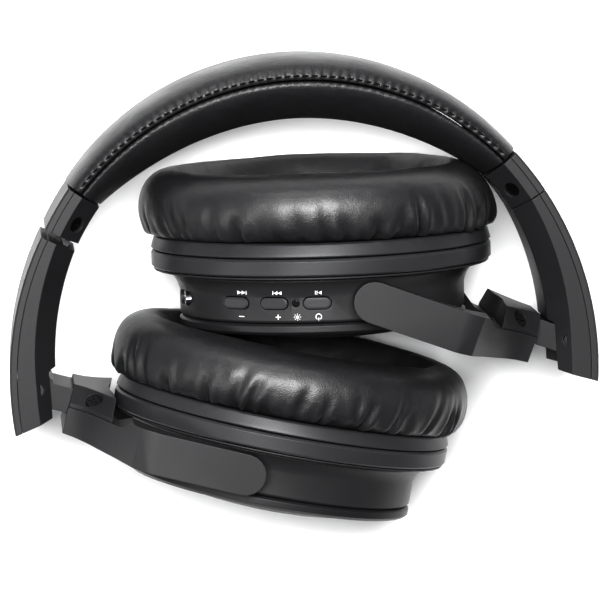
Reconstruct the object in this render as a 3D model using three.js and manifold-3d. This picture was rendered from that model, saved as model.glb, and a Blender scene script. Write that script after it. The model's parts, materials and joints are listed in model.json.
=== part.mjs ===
// Folding over-ear wireless headphones, lying folded on a table.
// Millimetres, +Z up from the table, +Y towards the crown of the headband.
// Every left part is made in the left side's own place; the right side is its mirror image,
// folded further so that its cup nests between the headband and the left cup.
import * as THREE from "three";
import { mergeVertices } from "three/addons/utils/BufferGeometryUtils.js";
import Module from "manifold-3d";

const wasm = await Module();
wasm.setup();

// ---------------------------------------------------------------- driving dimensions
const GAP = 0.3; // running and assembly clearance between neighbouring pieces
const OVAL_STEPS = 44; // facets round the visible ovals
const INNER_STEPS = 28; // facets round the hidden ovals
const BAND_STEPS = 36; // facets along the headband
const THROUGH = 60; // longer than any piece, for cuts that go right through

const CUSHION_LENGTH = 100.2; // long axis of the ear cushion
const CUSHION_HEIGHT = 80; // short axis of the ear cushion; stands on the table
const CUSHION_TUBE = 18.9; // from the outside of the ring to the ear opening
const CUSHION_CREST = 22.4; // from the cup's seam plane to the crest that meets the head
const LIP_LENGTH = 5.8; // the cushion is this much longer than the rigid rim
const LIP_HEIGHT = 4.4; // and this much higher
const RIM_DEPTH = 4.5; // width of the rim band
const FLANGE_DEPTH = 3.9; // the lip that carries the cushion
const WAIST_INSET = 7.6; // the housing is this much smaller than the rim all round
const WALL = 2.2; // thickness of the moulded walls
const BACK_FACE = 21.8; // from the seam plane to the outer face of the back plate
const PLATE_THICK = 3.1; // thickness of the back plate
const DISC_RADIUS = 27.5; // the round centre disc on the back plate
const DISC_PROUD = 1.2; // how far the disc stands above the plate
const DRIVER_RADIUS = 20; // 40 mm dynamic driver

const BAND_RADIUS = 78.2; // outer radius of the headband
const BAND_CENTRE_Y = 4.7; // centre of that radius
const BAND_SPAN = 52.2; // half of the padded arc, degrees from the crown
const BAND_THICK_CROWN = 17.6; // leather and foam at the crown
const BAND_THICK_END = 11.2; // where it enters the end caps
const BAND_WIDTH = 38; // across the crown
const BAND_WIDTH_END = 29; // across the ends
const COVER_DEPTH = 6.6; // depth of the outer cover layer at the crown
const SPRING_THICK = 1; // steel spring band
const SPRING_WIDTH = 18;
const SPRING_SHORT = 13; // degrees by which each end of the spring stops before the caps

const ARM_RADIUS = 89.5; // outer radius of the side arms
const ARM_CENTRE = new THREE.Vector2(8.7, -4);
const ARM_WIDTH = 29;
const CAP_WIDTH = 30;
const CAP_START = 141.6; // degrees round the arm's centre
const CAP_END = 149.9;
const ARM_START = 150.15;
const ARM_STOP = 186.7;
const ARM_THICK_TOP = 10.2;
const ARM_THICK_HINGE = 12.9;
const SHELL = 2; // thin outer skin of arms and caps
const BEVEL = 5.6; // the sloping inner edges
const SLIDE_TRAVEL = 18; // how far an arm pulls out of its cap
const STRIP_SHORT = 5; // pulled right out, the strip stops this far short of the cap's top end
const LEFT_PULLED = 1.9; // the left arm lies pulled out by this much
const STRIP_WIDTH = 12; // steel strip the arm slides on
const STRIP_THICK = 1.5;
const STRIP_DEPTH = 7.4; // below the outer face of the arm
const STRIP_BURIED = 13; // fixed length inside the arm

const HINGE = new THREE.Vector2(-73.4, -1.5);
const PIN_RADIUS = 1.8;
const PIN_REACH = ARM_WIDTH / 2 - 1.5; // the fold pin stops inside the cheeks of the arm
const BARREL_RADIUS = 4.7;
const TONGUE_HALF = 9.8; // half width of the knuckle
const TONGUE_TOP = 2.4;
const TONGUE_BOTTOM = 4.6;
const OPEN_ANGLE = -70.5; // direction of the fork when unfolded, degrees
const LEFT_FORK_ANGLE = -18.3; // as it lies
const RIGHT_FORK_ANGLE = 23.6;
const LEFT_CUP_ANGLE = -15.2;
const RIGHT_CUP_ANGLE = 2.6;

const FORK_REACH = 58.6; // hinge to cup pivot along the fork
const FORK_DROP = 5.65; // the tines run this far outside the hinge axis
const FORK_START = 9.4; // end face of the fork block
const TINE_HALF = 5.6; // half width of a tine, and its end radius
const TINE_THICK = 4.4;
const TINE_CLEAR = 2.3; // between a tine and the rim band
const TINE_OUTER = 38.4; // outer face of a tine from the middle plane
const BLOCK_TOP = 3.6; // inner face of the fork block above the hinge axis
const SEAM_V = -2.4; // seam between fork shell and its inner cover
const CROTCH = 20.5; // bottom of the fork's arch

const PIVOT_ALONG = 10.7; // cup pivot is this far from the cup's centre, towards the hinge
const PIVOT_RADIUS = 2.2;

const BUTTON_HEIGHT = 3;
const BUTTON_PROUD = 0.6;
const BUTTON_TRAVEL = 0.5; // how far a button presses in
const BUTTON_EDGE = 5.4; // from the button row to the back edge of the housing
const BUTTON_PLACES = { previous: 25.5, next: 15.5, play: 4 };
const LENS_PLACE = 9.8;

// ---------------------------------------------------------------- derived sizes
const RIM_LENGTH = CUSHION_LENGTH - LIP_LENGTH;
const RIM_HEIGHT = CUSHION_HEIGHT - LIP_HEIGHT;
const RIM_A = RIM_LENGTH / 2;
const RIM_B = RIM_HEIGHT / 2;
const CUSHION_A = CUSHION_LENGTH / 2;
const CUSHION_B = CUSHION_HEIGHT / 2;
const WAIST_A = RIM_A - WAIST_INSET;
const WAIST_B = RIM_B - WAIST_INSET;
const HOUSING_BACK = BACK_FACE - PLATE_THICK - GAP;
const HOUSING_FLOOR = WALL - 0.4 - HOUSING_BACK; // inner face of the housing's back wall
const BUTTON_ROW = BUTTON_EDGE - HOUSING_BACK;
const TINE_INNER = TINE_OUTER - TINE_THICK;
const OPENING_A = CUSHION_A - CUSHION_TUBE;
const OPENING_B = CUSHION_B - CUSHION_TUBE;
// The right cushion's end is pressed in by the headband's end, the more the thicker that end is.
const RIGHT_SQUASH = 2.2 * BAND_THICK_END - 17.24;
// The tines pass behind the rim band with room to tilt.
const PIVOT_BACK = RIM_DEPTH + TINE_HALF + TINE_CLEAR;
const BUTTON_LENGTH = 0.0784 * RIM_LENGTH;
const CAP_INSIDE = ARM_RADIUS * THREE.MathUtils.degToRad(ARM_START - CAP_START);

const degrees = THREE.MathUtils.degToRad;
const mix = THREE.MathUtils.lerp;

// ---------------------------------------------------------------- solid helpers
function signedVolume(geometry) {
  const place = geometry.attributes.position;
  const index = geometry.index;
  const a = new THREE.Vector3();
  const b = new THREE.Vector3();
  const c = new THREE.Vector3();
  let sum = 0;
  for (let i = 0; i < index.count; i += 3) {
    a.fromBufferAttribute(place, index.getX(i));
    b.fromBufferAttribute(place, index.getX(i + 1));
    c.fromBufferAttribute(place, index.getX(i + 2));
    sum += a.dot(b.cross(c));
  }
  return sum;
}

function flipFaces(geometry) {
  const index = geometry.index;
  for (let i = 0; i < index.count; i += 3) {
    const first = index.getX(i);
    index.setX(i, index.getX(i + 1));
    index.setX(i + 1, first);
  }
  return geometry;
}

// Welds a geometry and turns its faces outwards.
function closed(geometry) {
  const bare = new THREE.BufferGeometry();
  bare.setAttribute("position", geometry.attributes.position.clone());
  if (geometry.index) bare.setIndex(geometry.index.clone());
  const welded = mergeVertices(bare, 1e-4);
  return signedVolume(welded) < 0 ? flipFaces(welded) : welded;
}

function toManifold(geometry) {
  const solid = closed(geometry);
  return new wasm.Manifold(new wasm.Mesh({
    numProp: 3,
    vertProperties: new Float32Array(solid.attributes.position.array),
    triVerts: new Uint32Array(solid.index.array),
  }));
}

function fromManifold(manifold) {
  const mesh = manifold.getMesh();
  const geometry = new THREE.BufferGeometry();
  geometry.setAttribute("position", new THREE.BufferAttribute(new Float32Array(mesh.vertProperties), 3));
  geometry.setIndex(new THREE.BufferAttribute(new Uint32Array(mesh.triVerts), 1));
  return geometry;
}

function carve(body, ...tools) {
  return fromManifold(tools.reduce((left, tool) => left.subtract(toManifold(tool)), toManifold(body)));
}

function join(...parts) {
  return fromManifold(parts.slice(1).reduce(
    (left, part) => left.add(toManifold(part)), toManifold(parts[0]),
  ));
}

function common(body, tool) {
  return fromManifold(toManifold(body).intersect(toManifold(tool)));
}

// Skins a row of equal loops; a closed row makes a ring, an open row gets flat ends.
function skin(loops, ends) {
  const count = loops[0].length;
  const points = loops.flat().flatMap((point) => [point.x, point.y, point.z]);
  const faces = [];
  const rows = ends ? loops.length - 1 : loops.length;
  for (let row = 0; row < rows; row += 1) {
    const here = row * count;
    const there = ((row + 1) % loops.length) * count;
    for (let i = 0; i < count; i += 1) {
      const next = (i + 1) % count;
      faces.push(here + i, here + next, there + next, here + i, there + next, there + i);
    }
  }
  if (ends) {
    const last = (loops.length - 1) * count;
    ends.forEach(([a, b, c]) => {
      faces.push(c, b, a);
      faces.push(last + a, last + b, last + c);
    });
  }
  const geometry = new THREE.BufferGeometry();
  geometry.setAttribute("position", new THREE.Float32BufferAttribute(points, 3));
  geometry.setIndex(faces);
  return closed(geometry);
}

function endFaces(section) {
  const outline = section.map(([x, y]) => new THREE.Vector2(x, y));
  const forwards = THREE.ShapeUtils.isClockWise(outline) ? outline.slice().reverse() : outline;
  const faces = THREE.ShapeUtils.triangulateShape(forwards, []);
  if (forwards === outline) return faces;
  return faces.map(([a, b, c]) => [a, c, b].map((i) => outline.length - 1 - i));
}

// A loop of an oval, inset from its full size, at one depth of the cup.
function ovalLoop(halfLong, halfShort, inset, depth, steps) {
  return Array.from({ length: steps }, (_, i) => {
    const turn = (i / steps) * 2 * Math.PI;
    return new THREE.Vector3(
      (halfLong - inset) * Math.cos(turn), depth, (halfShort - inset) * Math.sin(turn),
    );
  });
}

function ovalRing(halfLong, halfShort, profile, steps = OVAL_STEPS) {
  return skin(profile.map(([inset, depth]) => ovalLoop(halfLong, halfShort, inset, depth, steps)));
}

function ovalSolid(halfLong, halfShort, profile, steps = OVAL_STEPS) {
  const loops = profile.map(([inset, depth]) => ovalLoop(halfLong, halfShort, inset, depth, steps));
  const flat = Array.from({ length: steps - 2 }, (_, i) => [0, i + 1, i + 2]);
  return skin(loops, flat);
}

// Sweeps a section of [depth, z] points round an arc; depth is measured inwards.
function arcSweep(centre, radius, from, to, steps, section) {
  const loops = Array.from({ length: steps + 1 }, (_, i) => {
    const turn = degrees(mix(from, to, i / steps));
    return section(i / steps).map(([depth, z]) => new THREE.Vector3(
      centre.x + (radius - depth) * Math.cos(turn),
      centre.y + (radius - depth) * Math.sin(turn),
      z,
    ));
  });
  return skin(loops, endFaces(section(0)));
}

function box(x0, x1, y0, y1, z0, z1) {
  return new THREE.BoxGeometry(x1 - x0, y1 - y0, z1 - z0)
    .translate((x0 + x1) / 2, (y0 + y1) / 2, (z0 + z1) / 2);
}

// A cylinder along z.
function post(radius, z0, z1, steps = 16) {
  return new THREE.CylinderGeometry(radius, radius, z1 - z0, steps)
    .rotateX(Math.PI / 2)
    .translate(0, 0, (z0 + z1) / 2);
}

// An outline in the x-y plane pulled from z0 to z1.
function slab(points, z0, z1) {
  const lower = points.map(([x, y]) => new THREE.Vector3(x, y, z0));
  const upper = points.map(([x, y]) => new THREE.Vector3(x, y, z1));
  return skin([lower, upper], endFaces(points));
}

function turned(matrix, geometry) {
  return geometry.clone().applyMatrix4(matrix);
}

function frameAt(origin, along, across) {
  const z = along.clone().normalize();
  const x = across.clone().normalize();
  const y = new THREE.Vector3().crossVectors(z, x);
  return new THREE.Matrix4().makeBasis(x, y, z).setPosition(origin);
}

// ---------------------------------------------------------------- screws
const SCREW_RADIUS = 2;
const SCREW_SINK = 1.7;

function screwRecess(frame) {
  return turned(frame, post(SCREW_RADIUS + GAP, -SCREW_SINK, 4, 14));
}

function screwHead(frame) {
  const head = post(SCREW_RADIUS, -SCREW_SINK + 0.1, -0.7, 14);
  const slotLong = box(-1.3, 1.3, -0.25, 0.25, -1.1, 0);
  const slotCross = box(-0.25, 0.25, -1.3, 1.3, -1.1, 0);
  return turned(frame, carve(head, slotLong, slotCross));
}

// ---------------------------------------------------------------- headband
function bandThickness(t) {
  const away = Math.abs(2 * t - 1);
  return mix(BAND_THICK_CROWN, BAND_THICK_END, away ** 2.4);
}

function bandHalfWidth(t) {
  return mix(BAND_WIDTH, BAND_WIDTH_END, Math.abs(2 * t - 1) ** 2) / 2;
}

function coverDepth(t) {
  return mix(COVER_DEPTH, COVER_DEPTH * 0.72, Math.abs(2 * t - 1) ** 2);
}

// The cover is domed across its width and stops at the stitched seam.
function coverSection(t) {
  const half = bandHalfWidth(t);
  const seam = coverDepth(t);
  const dome = [-1, -0.8, -0.45, 0, 0.45, 0.8, 1].map((s) => [(seam - 1) * Math.abs(s) ** 2.6, s * half]);
  return [...dome, [seam, half - 0.4], [seam, 0], [seam, 0.4 - half]];
}

// The pad under it leaves a shallow channel for the spring.
function padSection(t) {
  const half = bandHalfWidth(t);
  const seam = coverDepth(t) + GAP;
  const floor = bandThickness(t);
  const room = SPRING_WIDTH / 2 + GAP;
  const drop = seam + SPRING_THICK + GAP;
  const belly = [1, 0.86, 0.55, 0, -0.55, -0.86, -1].map((s) => [
    mix(floor, seam + 2.4, Math.abs(s) ** 3.2),
    s * half,
  ]);
  return [
    [seam, -half + 0.5], [seam, -room], [drop, -room], [drop, room], [seam, room],
    [seam, half - 0.5], ...belly,
  ];
}

function springSection(t) {
  const top = coverDepth(t) + GAP / 2;
  const half = SPRING_WIDTH / 2;
  return [[top, -half], [top, half], [top + SPRING_THICK, half], [top + SPRING_THICK, -half]];
}

function bandSweep(section, shortenBy, steps) {
  const span = BAND_SPAN - shortenBy;
  const shrink = (s) => 0.5 + (s - 0.5) * (span / BAND_SPAN);
  const centre = new THREE.Vector2(0, BAND_CENTRE_Y);
  return arcSweep(centre, BAND_RADIUS, 90 - span, 90 + span, steps, (s) => section(shrink(s)));
}

// ---------------------------------------------------------------- side arms, left side
// Local frame of the sliding strip: x along the pull-out direction, y outwards, z across.
function slideFrame() {
  const turn = degrees(ARM_START);
  const outward = new THREE.Vector3(Math.cos(turn), Math.sin(turn), 0);
  const pull = new THREE.Vector3(-Math.sin(turn), Math.cos(turn), 0);
  const origin = new THREE.Vector3(ARM_CENTRE.x, ARM_CENTRE.y, 0).addScaledVector(
    outward, ARM_RADIUS - STRIP_DEPTH,
  );
  const matrix = new THREE.Matrix4().makeBasis(pull, outward.negate(), new THREE.Vector3(0, 0, -1));
  return matrix.setPosition(origin);
}

function stripBar(extra, back, front) {
  const half = STRIP_WIDTH / 2 + extra;
  const thick = STRIP_THICK / 2 + extra;
  return turned(slideFrame(), box(-back, front, -thick, thick, -half, half));
}

const STRIP_BACK = CAP_INSIDE + SLIDE_TRAVEL - STRIP_SHORT; // through the cap, into the headband's end

function shellSection(width) {
  const half = width / 2;
  return [[0.5, -half], [0, -half + 0.5], [0, half - 0.5], [0.5, half], [SHELL, half], [SHELL, -half]];
}

// The inner moulding: flat sides, then two bevels down to a narrow inner face.
function mouldSection(width, thick) {
  const half = width / 2 - 0.2;
  const top = SHELL + 0.1;
  const crease = thick - BEVEL;
  return [
    [top, -half], [top, half], [crease, half], [thick, half - BEVEL], [thick, BEVEL - half],
    [crease, -half],
  ];
}

// A screw on the bevel of an arc-shaped moulding.
function bevelFrame(turnDegrees, width, thick, side) {
  const turn = degrees(turnDegrees);
  const radial = new THREE.Vector3(Math.cos(turn), Math.sin(turn), 0);
  const depth = thick - BEVEL / 2;
  const origin = new THREE.Vector3(ARM_CENTRE.x, ARM_CENTRE.y, 0).addScaledVector(
    radial, ARM_RADIUS - depth,
  );
  origin.z = side * (width / 2 - 0.2 - BEVEL / 2);
  const outward = new THREE.Vector3(-radial.x, -radial.y, side);
  const along = new THREE.Vector3(-radial.y, radial.x, 0);
  return frameAt(origin, outward, along);
}

const CAP_SCREW_ANGLE = 146.6;

function capShell() {
  return arcSweep(ARM_CENTRE, ARM_RADIUS, CAP_START, CAP_END, 6, () => shellSection(CAP_WIDTH));
}

function capCover() {
  const body = arcSweep(
    ARM_CENTRE, ARM_RADIUS, CAP_START, CAP_END, 6, () => mouldSection(CAP_WIDTH, ARM_THICK_TOP),
  );
  const recesses = [1, -1].map((side) => screwRecess(bevelFrame(
    CAP_SCREW_ANGLE, CAP_WIDTH, ARM_THICK_TOP, side,
  )));
  return carve(body, stripBar(GAP, THROUGH, THROUGH), ...recesses);
}

function capScrew(side) {
  return screwHead(bevelFrame(CAP_SCREW_ANGLE, CAP_WIDTH, ARM_THICK_TOP, side));
}

function armThickness(t) {
  return mix(ARM_THICK_TOP, ARM_THICK_HINGE, Math.min(1, t * 1.3));
}

// Everything beyond the arm's slanting end, where the opened fork butts against it.
function beyondArmEnd() {
  const past = box(FORK_START - GAP, THROUGH, -THROUGH, THROUGH, -THROUGH, THROUGH);
  return turned(forkFrame(OPEN_ANGLE), past);
}

// Room for the knuckle between the cheeks, from open to fully folded.
function knuckleRoom() {
  const reach = 30;
  const half = TONGUE_HALF + GAP;
  const sweep = [[0, 0]];
  for (let i = 0; i <= 8; i += 1) {
    const turn = degrees(mix(OPEN_ANGLE - 75, RIGHT_FORK_ANGLE + 2, i / 8));
    sweep.push([reach * Math.cos(turn), reach * Math.sin(turn)]);
  }
  const wedge = slab(sweep, -half, half);
  const lift = (TONGUE_TOP + GAP) / Math.cos(degrees(RIGHT_FORK_ANGLE));
  const round = post(BARREL_RADIUS + GAP, -half, half, 24);
  return join(wedge.translate(0, lift, 0), round).translate(HINGE.x, HINGE.y, 0);
}

function armShell() {
  const body = arcSweep(ARM_CENTRE, ARM_RADIUS, ARM_START, ARM_STOP, 22, () => shellSection(ARM_WIDTH));
  return carve(body, beyondArmEnd());
}

function armHousing() {
  const section = (t) => mouldSection(ARM_WIDTH, armThickness(t));
  const body = arcSweep(ARM_CENTRE, ARM_RADIUS, ARM_START, ARM_STOP, 22, section);
  const bore = post(PIN_RADIUS + GAP / 2, -PIN_REACH - GAP, PIN_REACH + GAP).translate(HINGE.x, HINGE.y, 0);
  const inside = new THREE.Vector3(HINGE.x, HINGE.y, 0);
  const cheekEdge = box(3.6, 40, -26, 4.5, -30, 30).translate(inside.x, inside.y, 0);
  return carve(
    body, beyondArmEnd(), knuckleRoom(), bore, cheekEdge,
    stripBar(GAP / 2, THROUGH, STRIP_BURIED + GAP),
  );
}

function foldPin() {
  return post(PIN_RADIUS, -PIN_REACH, PIN_REACH).translate(HINGE.x, HINGE.y, 0);
}

// ---------------------------------------------------------------- forks, left side
// Fork frame: x along the tines from the hinge, y towards the inner side, z across.
function forkFrame(angle) {
  return new THREE.Matrix4().makeRotationZ(degrees(angle)).setPosition(HINGE.x, HINGE.y, 0);
}

function knuckle() {
  const half = TONGUE_HALF;
  const barrel = post(BARREL_RADIUS, -half, half, 24);
  const outline = [
    [0, -TONGUE_BOTTOM], [CROTCH - 6, -TONGUE_BOTTOM], [CROTCH - 6, TONGUE_TOP], [0, TONGUE_TOP],
  ];
  const tongue = slab(outline, -half, half);
  return carve(join(barrel, tongue), post(PIN_RADIUS + GAP / 2, -THROUGH, THROUGH));
}

function knucklePocket() {
  return box(
    0, CROTCH - 6 + GAP, -TONGUE_BOTTOM - GAP, TONGUE_TOP + GAP, -TONGUE_HALF - GAP,
    TONGUE_HALF + GAP,
  );
}

// Seen from outside the fork is a Y: a stem that flares into two parallel tines.
function forkOutline() {
  const stem = ARM_WIDTH / 2;
  const flare = [
    [FORK_START, stem], [13, stem + 1], [17, stem + 4.6], [24, stem + 14],
    [28.5, TINE_OUTER - 2.6], [34, TINE_OUTER],
  ];
  const tip = FORK_REACH + TINE_HALF + 1;
  const upper = [...flare, [tip, TINE_OUTER]];
  const arch = [];
  const archReach = 27;
  for (let i = 0; i <= 14; i += 1) {
    const turn = degrees(mix(90, -90, i / 14));
    arch.push([CROTCH + archReach * (1 - Math.cos(turn)), TINE_INNER * Math.sin(turn)]);
  }
  const lower = upper.map(([x, z]) => [x, -z]).reverse();
  return [...upper, [tip, TINE_INNER], ...arch, [tip, -TINE_INNER], ...lower];
}

// Seen from the side it is a straight bar with a round end at the cup pivot.
function forkSide() {
  const low = -FORK_DROP - TINE_HALF;
  const high = -FORK_DROP + TINE_HALF;
  const outer = [[FORK_START, low + 1.6], [20, low + 0.7], [32, low], [FORK_REACH, low]];
  const end = [];
  for (let i = 1; i < 10; i += 1) {
    const turn = degrees(mix(-90, 90, i / 10));
    end.push([FORK_REACH + TINE_HALF * Math.cos(turn), -FORK_DROP + TINE_HALF * Math.sin(turn)]);
  }
  return [
    ...outer, ...end, [FORK_REACH, high], [CROTCH + 6, high], [CROTCH + 3, SEAM_V],
    [FORK_START, SEAM_V],
  ];
}

function forkShell() {
  const face = slab(forkOutline().map(([x, z]) => [x, -z]), -40, 40).rotateX(Math.PI / 2);
  const side = slab(forkSide(), -THROUGH, THROUGH);
  const blank = common(face, side);
  const bores = [1, -1].map((s) => {
    const from = s > 0 ? TINE_INNER - 1 : 1.4 - TINE_OUTER;
    const to = s > 0 ? TINE_OUTER - 1.4 : 1 - TINE_INNER;
    return post(PIVOT_RADIUS + GAP / 2, from, to).translate(FORK_REACH, -FORK_DROP, 0);
  });
  return carve(blank, knucklePocket(), ...bores);
}

// Outline of the cover on the block, pulled in by an amount.
function coverOutline(inset) {
  const stem = ARM_WIDTH / 2 - 0.2;
  const side = [[FORK_START + 0.15, stem], [13, stem + 0.9], [17, stem + 4.4], [21.2, stem + 9.8]];
  const arch = [[20.6, 9], [19.9, 4.5]].map(([x, z]) => [x, z]);
  const half = [...side.map(([x, z]) => [x, z - inset]), ...arch];
  const other = half.map(([x, z]) => [x, -z]).reverse();
  return [...half, [19.7, 0], ...other];
}

const FORK_SCREW = new THREE.Vector3(15.6, (BLOCK_TOP - 1.2) / 2, 0);

function forkScrewFrame(side) {
  const slope = new THREE.Vector3(0, 1, side);
  const half = ARM_WIDTH / 2 + 2.9 - (BLOCK_TOP + 1.2) / 2;
  const origin = new THREE.Vector3(FORK_SCREW.x, FORK_SCREW.y, side * half);
  return frameAt(origin, slope, new THREE.Vector3(1, 0, 0));
}

function forkCover() {
  const levels = [[SEAM_V + 0.15, 0], [-1.2, 0], [BLOCK_TOP, BLOCK_TOP + 1.2]];
  const loops = levels.map(([y, inset]) => coverOutline(inset).map(([x, z]) => new THREE.Vector3(x, y, z)));
  const body = skin(loops, endFaces(coverOutline(0)));
  const recesses = [1, -1].map((side) => screwRecess(forkScrewFrame(side)));
  return carve(body, knucklePocket(), ...recesses);
}

function forkScrew(side) {
  return screwHead(forkScrewFrame(side));
}

// ---------------------------------------------------------------- ear cups, left side
// Cup frame: x along the oval, y towards the ear, z across; y = 0 is the seam plane.
function cupFrame(forkAngle, cupAngle) {
  const pivot = new THREE.Vector3(FORK_REACH, -FORK_DROP, 0).applyMatrix4(forkFrame(forkAngle));
  const turn = new THREE.Matrix4().makeRotationZ(degrees(cupAngle));
  const back = new THREE.Matrix4().makeTranslation(PIVOT_ALONG, PIVOT_BACK, 0);
  return new THREE.Matrix4().makeTranslation(pivot.x, pivot.y, 0).multiply(turn).multiply(back);
}

function pivotBore(side) {
  const from = side > 0 ? 20 : -40;
  const to = side > 0 ? 40 : -20;
  return post(PIVOT_RADIUS + GAP / 2, from, to).translate(-PIVOT_ALONG, -PIVOT_BACK, 0);
}

// Frame on the waist wall: z along the outward normal, x along the wall.
function wallFrame(along, side) {
  const high = WAIST_B * Math.sqrt(1 - (along / WAIST_A) ** 2);
  const normal = new THREE.Vector3(along / WAIST_A ** 2, 0, (side * high) / WAIST_B ** 2).normalize();
  const tangent = new THREE.Vector3(normal.z, 0, -normal.x);
  return frameAt(new THREE.Vector3(along, BUTTON_ROW, side * high), normal, tangent);
}

function pill(length, height, z0, z1) {
  const round = height / 2;
  const straight = length / 2 - round;
  const outline = [];
  for (let i = 0; i <= 6; i += 1) {
    const turn = degrees(mix(-90, 90, i / 6));
    outline.push([straight + round * Math.cos(turn), round * Math.sin(turn)]);
  }
  for (let i = 0; i <= 6; i += 1) {
    const turn = degrees(mix(90, 270, i / 6));
    outline.push([-straight + round * Math.cos(turn), round * Math.sin(turn)]);
  }
  return slab(outline, z0, z1);
}

function housing() {
  const inner = WAIST_INSET + WALL;
  const floor = HOUSING_FLOOR;
  const profile = [
    [inner + 1.6, floor], [inner + 0.2, floor + 1.4], [inner, -11], [inner - 0.8, -8.6], [4.8, -6.6], [
      4.2, -RIM_DEPTH - 0.9,
    ],
    [0.7, -RIM_DEPTH - 0.8], [0.7, -RIM_DEPTH - 1.2], [4.4, -6.1], [5.8, -7.6], [6.9, -9.2], [
      WAIST_INSET, -11.4,
    ],
    [WAIST_INSET, -HOUSING_BACK + 0.6], [WAIST_INSET + 0.6, -HOUSING_BACK],
  ];
  return carve(ovalSolid(RIM_A, RIM_B, profile), pivotBore(1), pivotBore(-1));
}

function rimBand() {
  const bottom = -RIM_DEPTH - 0.5;
  return ovalRing(RIM_A, RIM_B, [
    [0.5, bottom], [0, bottom + 0.5], [0, -0.9], [0.6, -0.25], [3.9, -0.25], [3.9, bottom],
  ]);
}

function flange() {
  return ovalRing(RIM_A, RIM_B, [
    [0.3, 0.15], [0, 0.5], [0.2, 1.4], [0.9, FLANGE_DEPTH - 0.4], [1.4, FLANGE_DEPTH], [5, FLANGE_DEPTH], [
      5, 0.15,
    ],
  ]);
}

function baffle() {
  const inset = 5 + GAP;
  const plate = ovalSolid(RIM_A, RIM_B, [[inset, 0.15], [inset, 2.2]], INNER_STEPS);
  const hole = post(DRIVER_RADIUS + GAP, -5, 5, INNER_STEPS).rotateX(Math.PI / 2);
  return carve(plate, hole);
}

function driver() {
  const profile = [
    [0, -7.5], [12, -7.5], [13, -6.5], [13, -4], [DRIVER_RADIUS, -2.5], [DRIVER_RADIUS, 1.9],
    [15, 1.9], [12, 0.9], [7, 2], [0, 2],
  ];
  const points = profile.map(([x, y]) => new THREE.Vector2(x, y));
  return new THREE.LatheGeometry(points, 24);
}

function scrim() {
  return ovalSolid(OPENING_A, OPENING_B, [[GAP + 0.4, 2.6], [GAP + 0.4, 3.3]], INNER_STEPS);
}

function cushion(squash) {
  const base = FLANGE_DEPTH + GAP;
  const crest = CUSHION_CREST;
  const tube = CUSHION_TUBE;
  const sit = CUSHION_A - RIM_A + 0.9;
  const ring = ovalRing(CUSHION_A, CUSHION_B, [
    [sit, base], [1.2, base + 2.4], [0.1, base + 5.4], [0, base + 7.8], [1.2, base + 11.6], [
      3.4, crest - 3.2,
    ],
    [6.6, crest - 0.9], [9.8, crest], [13.2, crest - 0.8], [16.2, crest - 3], [tube - 0.6, crest - 6.8],
    [tube, base + 5.5], [tube - 0.6, base],
  ]);
  return pressedIn(ring, squash);
}

// Shortens the hinge end of a cushion, most at its crest and not at all at its base.
function pressedIn(ring, squash) {
  const place = ring.attributes.position;
  for (let i = 0; i < place.count; i += 1) {
    const end = Math.max(0, -place.getX(i) / CUSHION_A);
    const rise = Math.max(0, place.getY(i) - FLANGE_DEPTH - GAP) / (CUSHION_CREST - FLANGE_DEPTH);
    place.setX(i, place.getX(i) + squash * end ** 3 * rise ** 1.5);
  }
  return ring;
}

function backPlate() {
  const back = -BACK_FACE;
  const front = back + PLATE_THICK;
  const profile = [
    [WAIST_INSET + 0.6, front], [WAIST_INSET - 0.2, front - 0.6], [WAIST_INSET - 0.2, back + 0.9],
    [WAIST_INSET + 0.9, back],
  ];
  const plate = ovalSolid(RIM_A, RIM_B, profile);
  const seat = post(DISC_RADIUS + GAP, BACK_FACE - 0.6, BACK_FACE + 5, 48).rotateX(Math.PI / 2);
  return carve(plate, seat);
}

function centreDisc() {
  const back = BACK_FACE + DISC_PROUD;
  const profile = [
    [0, BACK_FACE - 0.4], [DISC_RADIUS, BACK_FACE - 0.4], [DISC_RADIUS, back - 0.9],
    [DISC_RADIUS - 1.4, back], [0, back],
  ];
  const points = profile.map(([x, y]) => new THREE.Vector2(x, -y));
  return new THREE.LatheGeometry(points, 40);
}

function pivotPin(side) {
  const wall = WAIST_B * Math.sqrt(1 - (PIVOT_ALONG / WAIST_A) ** 2);
  const shaft = post(PIVOT_RADIUS, wall - WALL - 1, TINE_OUTER - 1.4 - GAP);
  const collar = post(PIVOT_RADIUS + 0.9, wall + 2.4, TINE_INNER - GAP);
  const pin = join(shaft, collar);
  if (side < 0) pin.rotateX(Math.PI);
  return pin.translate(-PIVOT_ALONG, -PIVOT_BACK, 0);
}

// ---------------------------------------------------------------- controls in the right cup
function buttonHole(name) {
  return turned(
    wallFrame(BUTTON_PLACES[name], 1),
    pill(BUTTON_LENGTH + 2 * GAP, BUTTON_HEIGHT + 2 * GAP, -5, 3),
  );
}

function button(name) {
  const cap = pill(BUTTON_LENGTH, BUTTON_HEIGHT, -WALL - 1.4, BUTTON_PROUD - 0.25);
  const face = pill(BUTTON_LENGTH - 0.6, BUTTON_HEIGHT - 0.6, 0, BUTTON_PROUD);
  const foot = pill(BUTTON_LENGTH + 1.6, BUTTON_HEIGHT + 1.6, -WALL - 2, -WALL - 1);
  return turned(wallFrame(BUTTON_PLACES[name], 1), join(cap, face, foot));
}

const LENS_RADIUS = 0.9;

function lensHole() {
  return turned(wallFrame(LENS_PLACE, 1), post(LENS_RADIUS + GAP / 2, -5, 3, 16));
}

function lens() {
  return turned(wallFrame(LENS_PLACE, 1), post(LENS_RADIUS, -WALL - 1.5, -0.15, 16));
}

// The two sockets sit at the far end of the waist, one above the other.
const PORT_ACROSS = 6;
const PORT_ROW = -13.2;
const JACK_RADIUS = 2.7;

function endWall(across) {
  return WAIST_A * Math.sqrt(1 - (across / WAIST_B) ** 2);
}

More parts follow.
